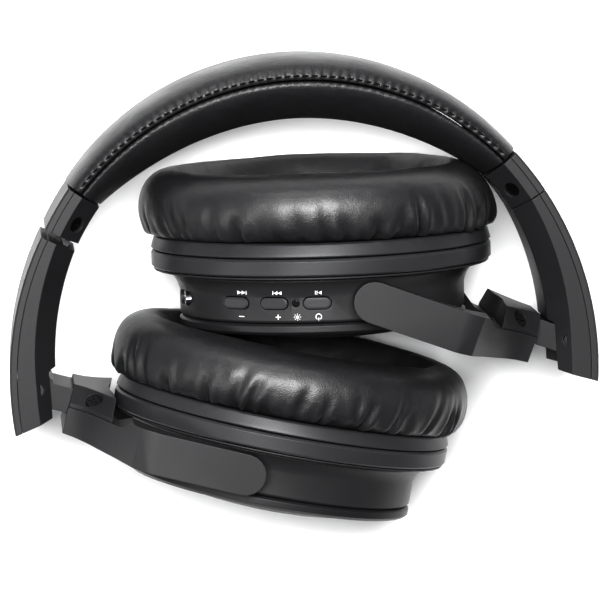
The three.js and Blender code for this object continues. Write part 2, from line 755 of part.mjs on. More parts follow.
function chargingSocket() {
  const outside = endWall(PORT_ACROSS) - 0.3;
  const body = pill(9, 3.6, 0, 7).rotateZ(Math.PI / 2);
  const slot = pill(7.4, 2, 2, 9).rotateZ(Math.PI / 2);
  return socketTurned(carve(body, slot), outside, PORT_ACROSS);
}

function chargingHole() {
  return socketTurned(
    pill(9 + GAP, 3.6 + GAP, -3, 14).rotateZ(Math.PI / 2), endWall(PORT_ACROSS), PORT_ACROSS,
  );
}

// Stands a socket made along z at the end of the cup, opening away from the hinge.
function socketTurned(geometry, outside, across) {
  return geometry.rotateZ(Math.PI / 2).translate(0, 0, -7).rotateY(Math.PI / 2).translate(
    outside, PORT_ROW, across,
  );
}

function audioJack() {
  const outside = endWall(PORT_ACROSS) - 0.3;
  const body = carve(post(JACK_RADIUS, 0, 7), post(1.75, 1.5, 9));
  return socketTurned(body, outside, -PORT_ACROSS);
}

function jackHole() {
  return socketTurned(post(JACK_RADIUS + GAP / 2, -3, 14), endWall(PORT_ACROSS), -PORT_ACROSS);
}

function circuitBoard() {
  return box(-20, 14, HOUSING_FLOOR + 4.2, HOUSING_FLOOR + 5.4, -18, 18);
}

function battery() {
  return box(-18, 8, HOUSING_FLOOR + 0.2, HOUSING_FLOOR + 3.7, -13, 13);
}

// ---------------------------------------------------------------- materials
const MATERIALS = {
  plastic: { color: 0x232325, roughness: 0.5, metalness: 0 },
  soft: { color: 0x161617, roughness: 0.42, metalness: 0 },
  leather: { color: 0x121213, roughness: 0.38, metalness: 0 },
  steel: { color: 0xa7a9ac, roughness: 0.3, metalness: 1 },
  cloth: { color: 0x1b1b1d, roughness: 0.95, metalness: 0 },
  board: { color: 0x1d5a38, roughness: 0.55, metalness: 0.1 },
  cell: { color: 0x8f979e, roughness: 0.4, metalness: 0.5 },
  lens: { color: 0x0a0a0c, roughness: 0.1, metalness: 0 },
};

const assembly = new THREE.Group();
assembly.name = "folding_headphones";

function addPart(name, geometry, look) {
  const solid = closed(geometry);
  solid.computeVertexNormals();
  const mesh = new THREE.Mesh(solid, new THREE.MeshStandardMaterial(MATERIALS[look]));
  mesh.name = name;
  assembly.add(mesh);
}

const mirror = new THREE.Matrix4().makeScale(-1, 1, 1);

function pulledOut(distance) {
  const pull = new THREE.Vector3(1, 0, 0).transformDirection(slideFrame()).multiplyScalar(distance);
  return new THREE.Matrix4().makeTranslation(pull.x, pull.y, pull.z);
}

// One side: places every piece with the side's own angles, mirrored for the right.
function addSide(side, forkAngle, cupAngle, pulled) {
  const flip = side === "right" ? mirror : new THREE.Matrix4();
  const arm = flip.clone().multiply(pulledOut(pulled));
  const fork = arm.clone().multiply(forkFrame(forkAngle));
  const cup = arm.clone().multiply(cupFrame(forkAngle, cupAngle));
  const put = (name, frame, geometry, look) => addPart(`${side}_${name}`, turned(frame, geometry), look);

  put("cap_shell", flip, capShell(), "plastic");
  put("cap_cover", flip, capCover(), "soft");
  put("cap_screw_top", flip, capScrew(1), "steel");
  put("cap_screw_under", flip, capScrew(-1), "steel");
  put("slider_strip", arm, stripBar(0, STRIP_BACK, STRIP_BURIED), "steel");
  put("arm_shell", arm, armShell(), "plastic");
  put("arm_housing", arm, armHousing(), "soft");
  put("fold_pin", arm, foldPin(), "steel");

  put("fork_knuckle", fork, knuckle(), "soft");
  put("fork_shell", fork, forkShell(), "plastic");
  put("fork_cover", fork, forkCover(), "soft");
  put("fork_screw_top", fork, forkScrew(1), "steel");
  put("fork_screw_under", fork, forkScrew(-1), "steel");

  const holes = [
    buttonHole("previous"), buttonHole("next"), buttonHole("play"), lensHole(), chargingHole(),
    jackHole(),
  ];
  put("cup_housing", cup, side === "right" ? carve(housing(), ...holes) : housing(), "plastic");
  put("cup_rim", cup, rimBand(), "soft");
  put("cup_flange", cup, flange(), "soft");
  put("cup_baffle", cup, baffle(), "soft");
  put("cup_driver", cup, driver(), "steel");
  put("cup_scrim", cup, scrim(), "cloth");
  put("ear_cushion", cup, cushion(side === "right" ? RIGHT_SQUASH : 0), "leather");
  put("back_plate", cup, backPlate(), "plastic");
  put("centre_disc", cup, centreDisc(), "soft");
  put("pivot_pin_top", cup, pivotPin(1), "steel");
  put("pivot_pin_under", cup, pivotPin(-1), "steel");
  return { fork, cup };
}

function addControls(cup) {
  Object.keys(BUTTON_PLACES).forEach((name) => addPart(
    `${name}_button`, turned(cup, button(name)), "soft",
  ));
  addPart("status_lens", turned(cup, lens()), "lens");
  addPart("charging_socket", turned(cup, chargingSocket()), "steel");
  addPart("audio_jack", turned(cup, audioJack()), "soft");
  addPart("circuit_board", turned(cup, circuitBoard()), "board");
  addPart("battery", turned(cup, battery()), "cell");
}

function addHeadband() {
  const slots = [new THREE.Matrix4(), mirror].map((flip) => turned(
    flip, stripBar(GAP, STRIP_BACK + GAP, THROUGH),
  ));
  addPart("headband_cover", carve(bandSweep(coverSection, 0, BAND_STEPS), ...slots), "leather");
  addPart("headband_pad", carve(bandSweep(padSection, 0, BAND_STEPS), ...slots), "leather");
  addPart("headband_spring", bandSweep(springSection, SPRING_SHORT, BAND_STEPS), "steel");
}

addHeadband();
const left = addSide("left", LEFT_FORK_ANGLE, LEFT_CUP_ANGLE, LEFT_PULLED);
const right = addSide("right", RIGHT_FORK_ANGLE, RIGHT_CUP_ANGLE, 0);
addControls(right.cup);

// The assembly stands on the table, centred on its own footprint.
const bounds = new THREE.Box3().setFromObject(assembly);
const middle = bounds.getCenter(new THREE.Vector3());
const shift = new THREE.Vector3(-middle.x, -middle.y, -bounds.min.z);
assembly.children.forEach((mesh) => mesh.geometry.translate(shift.x, shift.y, shift.z));

// Points and directions the joints use, in the finished frame.
function spot(frame, x, y, z) {
  return new THREE.Vector3(x, y, z).applyMatrix4(frame).add(shift).toArray();
}

function direction(frame, vector) {
  return vector.clone().transformDirection(frame).toArray();
}

assembly.userData.joints = {
  slideTravel: SLIDE_TRAVEL - LEFT_PULLED,
  buttonTravel: BUTTON_TRAVEL,
  leftHinge: spot(left.fork, 0, 0, 0),
  rightHinge: spot(right.fork, 0, 0, 0),
  leftPivot: spot(left.cup, -PIVOT_ALONG, -PIVOT_BACK, 0),
  rightPivot: spot(right.cup, -PIVOT_ALONG, -PIVOT_BACK, 0),
  leftPull: direction(slideFrame(), new THREE.Vector3(1, 0, 0)),
  slideOrigin: spot(slideFrame(), 0, 0, 0),
  discFace: spot(left.cup, 0, -BACK_FACE - DISC_PROUD, 0),
  discNormal: direction(left.cup, new THREE.Vector3(0, -1, 0)),
  leftOpening: spot(left.cup, 0, (CUSHION_CREST + FLANGE_DEPTH) / 2, 0),
  rightOpening: spot(right.cup, 0, (CUSHION_CREST + FLANGE_DEPTH) / 2, 0),
  buttons: Object.fromEntries(Object.entries(BUTTON_PLACES).map(([name, along]) => {
    const frame = right.cup.clone().multiply(wallFrame(along, 1));
    return [name, { at: spot(frame, 0, 0, 0), out: direction(frame, new THREE.Vector3(0, 0, 1)) }];
  })),
};

export default assembly;
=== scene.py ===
# %% [markdown]
# # Folded over-ear headphones
#
# The headphones lie folded on a white table. The frame that the CAD made comes first: every rigid
# piece is already in it, at its real size and place. This lesson adds what CAD leaves plain, which is
# the leather, the stitches, the printed signs and the finish of each plastic.

# %% Load the frame
import json
import math
import random

import bpy
import numpy as np
from mathutils import Matrix, Vector
from mathutils.bvhtree import BVHTree


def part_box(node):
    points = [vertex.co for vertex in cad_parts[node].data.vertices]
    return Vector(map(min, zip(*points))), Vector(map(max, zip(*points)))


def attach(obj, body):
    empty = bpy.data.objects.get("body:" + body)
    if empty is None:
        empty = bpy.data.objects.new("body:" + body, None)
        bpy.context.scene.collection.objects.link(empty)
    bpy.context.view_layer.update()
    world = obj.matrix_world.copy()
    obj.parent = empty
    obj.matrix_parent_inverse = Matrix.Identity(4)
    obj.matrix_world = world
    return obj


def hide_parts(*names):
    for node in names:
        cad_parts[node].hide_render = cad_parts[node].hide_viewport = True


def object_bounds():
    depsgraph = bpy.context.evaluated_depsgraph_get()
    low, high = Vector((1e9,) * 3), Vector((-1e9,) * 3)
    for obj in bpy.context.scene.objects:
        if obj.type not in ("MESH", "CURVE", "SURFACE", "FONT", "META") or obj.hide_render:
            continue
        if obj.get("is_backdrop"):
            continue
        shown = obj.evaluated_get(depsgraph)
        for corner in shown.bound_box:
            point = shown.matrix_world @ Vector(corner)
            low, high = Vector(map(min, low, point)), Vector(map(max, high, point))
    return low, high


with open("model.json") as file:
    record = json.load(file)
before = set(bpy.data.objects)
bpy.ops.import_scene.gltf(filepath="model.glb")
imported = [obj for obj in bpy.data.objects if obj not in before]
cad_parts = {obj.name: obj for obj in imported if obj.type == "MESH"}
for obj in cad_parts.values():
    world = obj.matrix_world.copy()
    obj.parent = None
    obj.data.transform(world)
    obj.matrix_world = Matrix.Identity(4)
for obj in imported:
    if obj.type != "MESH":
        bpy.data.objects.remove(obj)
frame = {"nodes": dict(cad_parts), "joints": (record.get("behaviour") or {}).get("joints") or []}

cad_low, cad_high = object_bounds()
print("CAD box", [round(v, 4) for v in (*cad_low, *cad_high)])

# %% [markdown]
# Each ear cup lies at its own angle, so its pieces are easier to describe in the cup's own axes:
# `along` the oval, away from the fold hinge, `up` towards the ear, and `across`, which is straight up
# from the table. The rim band is longer than it is deep, so the long axis of its points is `along`.

# %% The axes of a cup
MM = 0.001


def points_of(node):
    """The corners of a CAD piece, as rows of x, y, z in metres."""
    return np.array([v.co for v in frame["nodes"][node].data.vertices], float)


def joint(name):
    return next(j for j in frame["joints"] if j["name"] == name)


def cup_axes(side):
    rim = points_of(side + "_cup_rim")
    centre = (rim.min(0) + rim.max(0)) / 2
    spread = np.cov((rim[:, :2] - rim[:, :2].mean(0)).T)
    long_axis = np.linalg.eigh(spread)[1][:, 1]
    along = Vector((long_axis[0], long_axis[1], 0)).normalized()
    if along.dot(Vector(centre) - Vector(joint(side + "_fold")["pos_m"])) < 0:
        along = -along
    low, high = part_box(side + "_ear_cushion")
    up = Vector((-along.y, along.x, 0))
    if up.dot((low + high) / 2 - Vector(centre)) < 0:
        up = -up
    flange = points_of(side + "_cup_flange")
    middle = rim[:, :2].mean(0)
    base = min(Vector((*p[:2], 0)).dot(up) for p in flange)
    origin = Vector((*middle, 0))
    origin += up * (base - origin.dot(up))
    origin.z = (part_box(side + "_cup_rim")[0].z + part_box(side + "_cup_rim")[1].z) / 2
    return {"origin": origin, "along": along, "up": up}


CUPS = {side: cup_axes(side) for side in ("left", "right")}


def in_cup(side, along, up, across):
    """A point given in a cup's own axes, in metres, as a point of the room."""
    cup = CUPS[side]
    return cup["origin"] + cup["along"] * along + cup["up"] * up + Vector((0, 0, across))


def cup_points(side, node):
    """The corners of a CAD piece in the cup's own axes: along, up, across."""
    cup = CUPS[side]
    shifted = points_of(node) - np.array(cup["origin"])
    return np.stack([shifted @ np.array(cup["along"]), shifted @ np.array(cup["up"]), shifted[:, 2]], 1)


for side, cup in CUPS.items():
    print(side, "cup leans", round(math.degrees(math.atan2(cup["up"].x, cup["up"].y)), 1), "degrees")

# %% [markdown]
# ## Camera
#
# The view is almost straight down, from about a metre above, a little towards the crown of the headband
# and to the left. A long lens keeps the two cups the same size. The camera is turned a few degrees about
# its own line of sight, so the headphones look slightly tipped. Its place is measured from the middle of
# the CAD box, so it stays right if the CAD changes.

# %% Camera
CAMERA_RISE = 0.96  # metres above the middle of the object
CAMERA_TO_CROWN = 0.1283  # metres from the middle towards the crown
CAMERA_ASIDE = -0.0705  # metres from the middle, to the left
AIM_ASIDE, AIM_TO_CROWN = 0.0008, -0.0030  # the point looked at, from the middle
CAMERA_ROLL = 0.072  # radians
LENS = 209.6  # millimetres, on a 36 mm sensor

middle = (cad_low + cad_high) / 2
camera = bpy.data.objects.new("camera", bpy.data.cameras.new("camera"))
bpy.context.scene.collection.objects.link(camera)
camera.location = middle + Vector((CAMERA_ASIDE, CAMERA_TO_CROWN, CAMERA_RISE))
aim = middle + Vector((AIM_ASIDE, AIM_TO_CROWN, 0))
backward = (camera.location - aim).normalized()
sideways = Vector((math.sin(CAMERA_ROLL), math.cos(CAMERA_ROLL), 0)).cross(backward).normalized()
upward = backward.cross(sideways)
camera.rotation_mode = "QUATERNION"
camera.rotation_quaternion = Matrix((sideways, upward, backward)).transposed().to_quaternion()
camera.data.lens = LENS
camera.data.sensor_width = 36
camera.data.clip_end = 20
bpy.context.scene.camera = camera
print("camera", [round(v, 3) for v in camera.location])

# %% [markdown]
# ## Table and light
#
# Black plastic and black leather show only what they reflect, so the light matters more than the
# colour. One wide soft panel hangs almost overhead, a little towards the crown. Faces that look up
# reflect it and turn grey, while bevels and the far sides of the cushions reflect the dark upper walls
# of the room and stay black. The walls are pale only near the floor, so that low views have a pale
# background. A long low panel beyond the crown lights the headband beside its seam. The table is a
# plain sheet, large enough to reach past every view. A display gamma below one darkens the dark tones.

# %% Table and light
def node_of(tree, kind, **inputs):
    """Adds a shader node and sets the inputs named."""
    node = tree.nodes.new("ShaderNode" + kind)
    for name, value in inputs.items():
        node.inputs[name.replace("_", " ")].default_value = value
    return node


def new_piece(name, corners, faces, smooth=True):
    mesh = bpy.data.meshes.new(name)
    mesh.from_pydata([tuple(c) for c in corners], [], faces)
    mesh.validate()
    if smooth:
        mesh.shade_smooth()
    piece = bpy.data.objects.new(name, mesh)
    bpy.context.scene.collection.objects.link(piece)
    return piece


TABLE_HALF = 3.0
table = new_piece(
    "table",
    [(x * TABLE_HALF, y * TABLE_HALF, -0.0002) for x, y in ((-1, -1), (1, -1), (1, 1), (-1, 1))],
    [(0, 1, 2, 3)],
    smooth=False,
)
table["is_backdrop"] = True
table_white = bpy.data.materials.new("table_white")
table_white.use_nodes = True
tree = table_white.node_tree
paint = tree.nodes["Principled BSDF"]
paint.inputs["Roughness"].default_value = 0.7
paint.inputs["Specular IOR Level"].default_value = 0.2
mottle = node_of(tree, "TexNoise", Scale=3.0, Detail=2.0)
shade = tree.nodes.new("ShaderNodeValToRGB")
shade.color_ramp.elements[0].color = (0.86, 0.86, 0.86, 1)
shade.color_ramp.elements[1].color = (0.90, 0.90, 0.90, 1)
place = tree.nodes.new("ShaderNodeTexCoord")
tree.links.new(place.outputs["Object"], mottle.inputs["Vector"])
tree.links.new(mottle.outputs["Fac"], shade.inputs["Fac"])
tree.links.new(shade.outputs["Color"], paint.inputs["Base Color"])
table.data.materials.append(table_white)

room = bpy.data.worlds.new("pale_room")
bpy.context.scene.world = room
room.use_nodes = True
tree = room.node_tree
heading = tree.nodes.new("ShaderNodeTexCoord")
height = tree.nodes.new("ShaderNodeSeparateXYZ")
walls = tree.nodes.new("ShaderNodeValToRGB")
pale_walls, dark_walls = walls.color_ramp.elements
pale_walls.position, pale_walls.color = 0.06, (0.50, 0.51, 0.53, 1)
dark_walls.position, dark_walls.color = 0.16, (0.09, 0.09, 0.095, 1)
tree.links.new(heading.outputs["Generated"], height.inputs["Vector"])
tree.links.new(height.outputs["Z"], walls.inputs["Fac"])
tree.links.new(walls.outputs["Color"], tree.nodes["Background"].inputs["Color"])


def soft_panel(name, where, width, height, watts):
    light = bpy.data.lights.new(name, "AREA")
    light.shape = "RECTANGLE"
    light.size, light.size_y, light.energy = width, height, watts
    panel = bpy.data.objects.new(name, light)
    bpy.context.scene.collection.objects.link(panel)
    panel.location = middle + Vector(where)
    panel.rotation_mode = "QUATERNION"
    panel.rotation_quaternion = (middle - panel.location).to_track_quat("-Z", "Y")
    return panel


DISPLAY_GAMMA = 0.8
soft_panel("overhead_panel", (-0.10, 0.28, 1.14), 0.60, 0.30, 37)
soft_panel("crown_panel", (0.0, 1.0, 0.62), 0.90, 0.20, 8)
soft_panel("side_panel", (-0.95, -0.15, 0.75), 0.18, 0.5, 4.0)
bpy.context.scene.view_settings.view_transform = "Standard"
bpy.context.scene.view_settings.gamma = DISPLAY_GAMMA

# %% [markdown]
# ## Plastics
#
# Every plastic piece is the same moulded ABS with a fine spark-eroded texture, a shade lighter where the
# texture is coarser. Rounded edges are slightly polished by hands, and they also get a painted highlight:
# a Bevel node finds the edges, and where the rounded normal differs from the true one, the colour is
# lifted a little, partly as wear and partly as painted light that the edges would catch. The texture is
# a small noise bump, at a scale of tenths of a millimetre.

# %% A plastic finish
def mixed(tree, factor, dark, pale):
    """A colour between two, by the factor socket."""
    ramp = tree.nodes.new("ShaderNodeValToRGB")
    ramp.color_ramp.elements[0].color = (*dark, 1)
    ramp.color_ramp.elements[1].color = (*pale, 1)
    tree.links.new(factor, ramp.inputs["Fac"])
    return ramp


def ranged(tree, value, low, high):
    """Stretches a 0 to 1 socket to low..high."""
    step = tree.nodes.new("ShaderNodeMapRange")
    step.inputs["To Min"].default_value = low
    step.inputs["To Max"].default_value = high
    tree.links.new(value, step.inputs["Value"])
    return step.outputs["Result"]


def edges_for_wear_and_highlight(tree, radius):
    """1 along the edges of a piece and 0 on its faces, and the rounded normal."""
    bevel = tree.nodes.new("ShaderNodeBevel")
    bevel.samples = 6
    bevel.inputs["Radius"].default_value = radius
    true = tree.nodes.new("ShaderNodeNewGeometry")
    dot = tree.nodes.new("ShaderNodeVectorMath")
    dot.operation = "DOT_PRODUCT"
    tree.links.new(bevel.outputs["Normal"], dot.inputs[0])
    tree.links.new(true.outputs["Normal"], dot.inputs[1])
    edge = tree.nodes.new("ShaderNodeMapRange")
    edge.inputs["From Min"].default_value = 0.995
    edge.inputs["From Max"].default_value = 0.85
    tree.links.new(dot.outputs["Value"], edge.inputs["Value"])
    return edge.outputs["Result"], bevel.outputs["Normal"]


def moulded(name, colour, roughness, texture=0.00004, grain=2600, edge_radius=0.00035, edge_wear_and_highlight_lift=1.6):
    material = bpy.data.materials.new(name)
    material.use_nodes = True
    tree = material.node_tree
    skin = tree.nodes["Principled BSDF"]
    skin.inputs["Specular IOR Level"].default_value = 0.27
    place = tree.nodes.new("ShaderNodeTexCoord")
    spark = node_of(tree, "TexNoise", Scale=grain, Detail=3.0, Roughness=0.6)
    handling = node_of(tree, "TexNoise", Scale=38.0, Detail=4.0, Roughness=0.55)
    for noise in (spark, handling):
        tree.links.new(place.outputs["Object"], noise.inputs["Vector"])
    edge, rounded = edges_for_wear_and_highlight(tree, edge_radius)
    tone = mixed(tree, handling.outputs["Fac"], [c * 0.8 for c in colour], [c * 1.25 for c in colour])
    edge_wear_and_highlight = tree.nodes.new("ShaderNodeMix")
    edge_wear_and_highlight.data_type = "RGBA"
    # painted edge highlight, partly edge wear: along the edges the colour is lifted above the plastic's own
    # colour
    edge_wear_and_highlight.inputs["B"].default_value = (*[c * edge_wear_and_highlight_lift + 0.004 for c in colour], 1)
    tree.links.new(edge, edge_wear_and_highlight.inputs["Factor"])
    tree.links.new(tone.outputs["Color"], edge_wear_and_highlight.inputs["A"])
    tree.links.new(edge_wear_and_highlight.outputs["Result"], skin.inputs["Base Color"])
    gloss = ranged(tree, handling.outputs["Fac"], roughness - 0.07, roughness + 0.07)
    tree.links.new(gloss, skin.inputs["Roughness"])
    bump = node_of(tree, "Bump", Strength=0.6, Distance=texture)
    tree.links.new(spark.outputs["Fac"], bump.inputs["Height"])
    tree.links.new(rounded, bump.inputs["Normal"])
    tree.links.new(bump.outputs["Normal"], skin.inputs["Normal"])
    return material


# %% [markdown]
# ## Metal, cloth and clear pieces
#
# The screws are blackened steel. The strips, pins and driver are bare steel, rolled along their length,
# so their noise is stretched. The cloth over the driver is a plain weave, made by two crossed waves.

# %% Metal, cloth and clear finishes
def rolled_metal(name, colour, roughness):
    material = bpy.data.materials.new(name)
    material.use_nodes = True
    tree = material.node_tree
    skin = tree.nodes["Principled BSDF"]
    skin.inputs["Metallic"].default_value = 1.0
    place = tree.nodes.new("ShaderNodeTexCoord")
    stretch = tree.nodes.new("ShaderNodeMapping")
    stretch.inputs["Scale"].default_value = (250, 250, 9000)
    lines = node_of(tree, "TexNoise", Scale=1.0, Detail=4.0)
    tree.links.new(place.outputs["Object"], stretch.inputs["Vector"])
    tree.links.new(stretch.outputs["Vector"], lines.inputs["Vector"])
    tone = mixed(tree, lines.outputs["Fac"], [c * 0.75 for c in colour], colour)
    tree.links.new(tone.outputs["Color"], skin.inputs["Base Color"])
    gloss = ranged(tree, lines.outputs["Fac"], roughness - 0.08, roughness + 0.1)
    tree.links.new(gloss, skin.inputs["Roughness"])
    bump = node_of(tree, "Bump", Strength=0.4, Distance=0.00002)
    tree.links.new(lines.outputs["Fac"], bump.inputs["Height"])
    tree.links.new(bump.outputs["Normal"], skin.inputs["Normal"])
    return material


def woven(name, colour, threads_per_metre=2200):
    material = bpy.data.materials.new(name)
    material.use_nodes = True
    tree = material.node_tree
    skin = tree.nodes["Principled BSDF"]
    skin.inputs["Roughness"].default_value = 0.9
    skin.inputs["Sheen Weight"].default_value = 0.3
    skin.inputs["Sheen Roughness"].default_value = 0.5
    place = tree.nodes.new("ShaderNodeTexCoord")
    height = tree.nodes.new("ShaderNodeMath")
    height.operation = "MAXIMUM"
    for slot, direction in enumerate(("X", "Z")):
        thread = node_of(tree, "TexWave", Scale=threads_per_metre / 6.3, Distortion=0.4)
        thread.bands_direction = direction
        tree.links.new(place.outputs["Object"], thread.inputs["Vector"])
        tree.links.new(thread.outputs["Fac"], height.inputs[slot])
    tone = mixed(tree, height.outputs["Value"], [c * 0.3 for c in colour], colour)
    tree.links.new(tone.outputs["Color"], skin.inputs["Base Color"])
    bump = node_of(tree, "Bump", Strength=0.8, Distance=0.00015)
    tree.links.new(height.outputs["Value"], bump.inputs["Height"])
    tree.links.new(bump.outputs["Normal"], skin.inputs["Normal"])
    return material


# %% [markdown]
# ## Leather
#
# The cushions and the headband are covered in thin artificial leather: a soft black skin with pebbles
# about half a millimetre across, finer creases between them, and a slight gloss. The pebbles are
# Voronoi cells and the creases are noise, and both only move the surface by hundredths of a millimetre.
# The gloss varies, because leather that is stretched tight shines more.

# %% A leather finish
def leather(name, colour, roughness, pebble=2300, depth=0.00009, coat=0.0, shine=0.5):
    material = bpy.data.materials.new(name)
    material.use_nodes = True
    tree = material.node_tree
    skin = tree.nodes["Principled BSDF"]
    skin.inputs["Specular IOR Level"].default_value = shine
    skin.inputs["Coat Weight"].default_value = coat
    skin.inputs["Coat Roughness"].default_value = 0.25
    place = tree.nodes.new("ShaderNodeTexCoord")
    cells = node_of(tree, "TexVoronoi", Scale=pebble, Randomness=1.0)
    cells.feature = "DISTANCE_TO_EDGE"
    creases = node_of(tree, "TexNoise", Scale=pebble / 4, Detail=6.0, Roughness=0.65, Distortion=0.6)
    waves = node_of(tree, "TexNoise", Scale=90.0, Detail=3.0, Roughness=0.5)
    for texture in (cells, creases, waves):
        tree.links.new(place.outputs["Object"], texture.inputs["Vector"])
    tone = mixed(tree, creases.outputs["Fac"], [c * 0.55 for c in colour], [c * 1.4 for c in colour])
    tree.links.new(tone.outputs["Color"], skin.inputs["Base Color"])
    gloss = ranged(tree, waves.outputs["Fac"], roughness - 0.1, roughness + 0.12)
    tree.links.new(gloss, skin.inputs["Roughness"])
    normal = None
    layers = ((cells, "Distance", depth), (creases, "Fac", depth), (waves, "Fac", depth * 6))
    for texture, output, distance in layers:
        bump = node_of(tree, "Bump", Strength=0.55, Distance=distance)
        tree.links.new(texture.outputs[output], bump.inputs["Height"])
        if normal:
            tree.links.new(normal, bump.inputs["Normal"])
        normal = bump.outputs["Normal"]
    tree.links.new(normal, skin.inputs["Normal"])
    return material


# %% [markdown]
# The record names a material slot for each piece. Each slot gets its finish here, and every CAD piece
# then takes the finish of its own slot. The faceted CAD surfaces are shaded smooth up to an angle of
# 30 degrees, so that a round rim looks round, while real edges stay crisp. No corner is moved.

# %% Finish every CAD piece
FINISH = {
    "steel": rolled_metal("blackened_steel", (0.035, 0.035, 0.037), 0.42),
    "headband_leather": leather(
        "headband_leather", (0.012, 0.012, 0.013), 0.40, pebble=1700, depth=0.00016, shine=0.38
    ),
    "cushion_leather": leather(
        "cushion_leather", (0.011, 0.011, 0.012), 0.42, pebble=1700, depth=0.00012, coat=0.06
    ),
    "shell_plastic": moulded("shell_plastic", (0.017, 0.017, 0.018), 0.47),
    "moulded_plastic": moulded("moulded_plastic", (0.013, 0.013, 0.014), 0.46),
    "housing_plastic": moulded("housing_plastic", (0.018, 0.018, 0.019), 0.44),
    "rim_plastic": moulded("rim_plastic", (0.022, 0.022, 0.024), 0.40),
    "plate_plastic": moulded("plate_plastic", (0.012, 0.012, 0.013), 0.42),
    "disc_plastic": moulded("disc_plastic", (0.014, 0.014, 0.015), 0.30, texture=0.00001),
    "driver_metal": rolled_metal("driver_metal", (0.35, 0.35, 0.37), 0.35),
    "scrim_cloth": woven("scrim_cloth", (0.03, 0.03, 0.033)),
    "button_plastic": moulded("button_plastic", (0.026, 0.026, 0.028), 0.34, edge_radius=0.00025),
    "lens_plastic": moulded("lens_plastic", (0.008, 0.008, 0.009), 0.12, texture=0.000004),
    "socket_metal": rolled_metal("socket_metal", (0.30, 0.30, 0.32), 0.30),
    "jack_plastic": moulded("jack_plastic", (0.010, 0.010, 0.011), 0.35),
    "board_resin": moulded("board_resin", (0.012, 0.05, 0.03), 0.5),
    "cell_foil": rolled_metal("cell_foil", (0.45, 0.46, 0.48), 0.4),
}
SMOOTH_BELOW = math.radians(30)


def shade_by_angle(piece):
    """Gives each corner the mean normal of the faces round it that turn less than SMOOTH_BELOW."""
    mesh = piece.data
    meeting = {}
    for face in mesh.polygons:
        for corner in face.vertices:
            place = tuple(round(v, 6) for v in mesh.vertices[corner].co)
            meeting.setdefault(place, []).append(face.normal * face.area)
    normals = []
    for face in mesh.polygons:
        for corner in face.vertices:
            place = tuple(round(v, 6) for v in mesh.vertices[corner].co)
            near = [n for n in meeting[place] if n.length and n.angle(face.normal, 0) < SMOOTH_BELOW]
            normals.append(sum(near, Vector()).normalized() if near else face.normal.copy())
    mesh.shade_smooth()
    mesh.normals_split_custom_set(normals)


for name, piece in frame["nodes"].items():
    for place in piece.material_slots:
        place.material = FINISH[place.material.name.split(".")[0]]
    shade_by_angle(piece)
print(len(frame["nodes"]), "CAD pieces finished in", len(FINISH), "finishes")

# %% [markdown]
# ## Ear cushions
#
# An ear cushion is a foam ring in a thin leather skin. The skin is pulled over the foam from the ear
# side and gathered at the base, where a hidden plate clamps it to the cup. The gathering leaves pleats
# that run up from the base and fade half way. The oval is 80 mm across and about 100 mm long.
#
# The ring is lofted from a section that follows the CAD solid, a little slimmer than it. Then cloth
# simulation blows it up: the skin is held at the base, the air in it presses outwards, and a few
# per cent of extra cloth makes it wrinkle by itself. Movement is capped, so the ring stays in the space
# that the CAD gives it. The right cushion is pressed in by the end cap of the headband, and its
# starting ring has that dent.

# %% The ring before it is filled
def section_points(corners, count):
    """A smooth closed curve through the corners, as evenly spaced points."""
    ring = np.array(corners, float)
    dense = []
    for i in range(len(ring)):
        a, b, c, d = (ring[(i + k - 1) % len(ring)] for k in range(4))
        for t in np.linspace(0, 1, 16, endpoint=False):
            bend = (2 * a - 5 * b + 4 * c - d) * t**2
            twist = (3 * b - a - 3 * c + d) * t**3
            dense.append(0.5 * (2 * b + (c - a) * t + bend + twist))
    dense = np.array(dense)
    step = np.linalg.norm(np.roll(dense, -1, 0) - dense, axis=1)
    run = np.concatenate([[0], np.cumsum(step)])
    closed = np.vstack([dense, dense[:1]])
    wanted = np.linspace(0, run[-1], count, endpoint=False)
    return np.stack([np.interp(wanted, run, closed[:, k]) for k in range(closed.shape[1])], 1)


def loft_faces(rows, columns, flip):
    """Quads over a grid that closes on itself both ways, facing out."""
    faces = []
    for i in range(rows):
        for j in range(columns):
            k, m = (i + 1) % rows, (j + 1) % columns
            quad = (i * columns + j, k * columns + j, k * columns + m, i * columns + m)
            faces.append(quad[::-1] if flip else quad)
    return faces


ROUND = 168  # steps round the oval
SECTION = 34  # steps round the section
outline = cup_points("left", "left_ear_cushion")
HALF_LONG, HALF_SHORT = abs(outline[:, 0]).max(), abs(outline[:, 2]).max()
BASE, CREST = outline[:, 1].min(), outline[:, 1].max()
SLACK = 0.5 * MM  # the ring starts this much slimmer than its space
PRESSED_IN = 6.0 * MM  # how far the headband pushes in the end of the right cushion
cushion_size = (2 * HALF_LONG, 2 * HALF_SHORT, CREST - BASE)
print("cushion length, height and depth in mm", [round(v / MM, 1) for v in cushion_size])

# Each corner is (distance in from the outside of the oval, height above the base), in millimetres.
CUSHION_SECTION = [
    (4.2, 0.0), (1.9, 1.5), (0.6, 4.4), (0.0, 8.2), (0.5, 12.0), (2.3, 15.4), (5.4, 17.7),
    (8.8, 18.2), (11.4, 17.4), (13.6, 15.0), (16.2, 10.5), (18.0, 6.0), (18.4, 1.2), (16.4, 0.0),
    (10.0, 0.0),
]


def pressed(side, along, height):
    """How far the right cushion's hinge end is pushed in, by place along and height above its base."""
    if side == "left":
        return 0.0
    end = max(0.0, -along / HALF_LONG)
    return PRESSED_IN * end**3 * max(0.0, height / (CREST - BASE)) ** 1.5


def ring_corners(side):
    section = section_points(CUSHION_SECTION, SECTION) * MM
    corners = []
    for i in range(ROUND):
        turn = 2 * math.pi * i / ROUND
        for inset, height in section:
            inset = SLACK + inset * 0.98
            along = (HALF_LONG - inset) * math.cos(turn)
            across = (HALF_SHORT - inset) * math.sin(turn)
            along += pressed(side, along, height)
            corners.append(in_cup(side, along, BASE + height, across))
    return corners


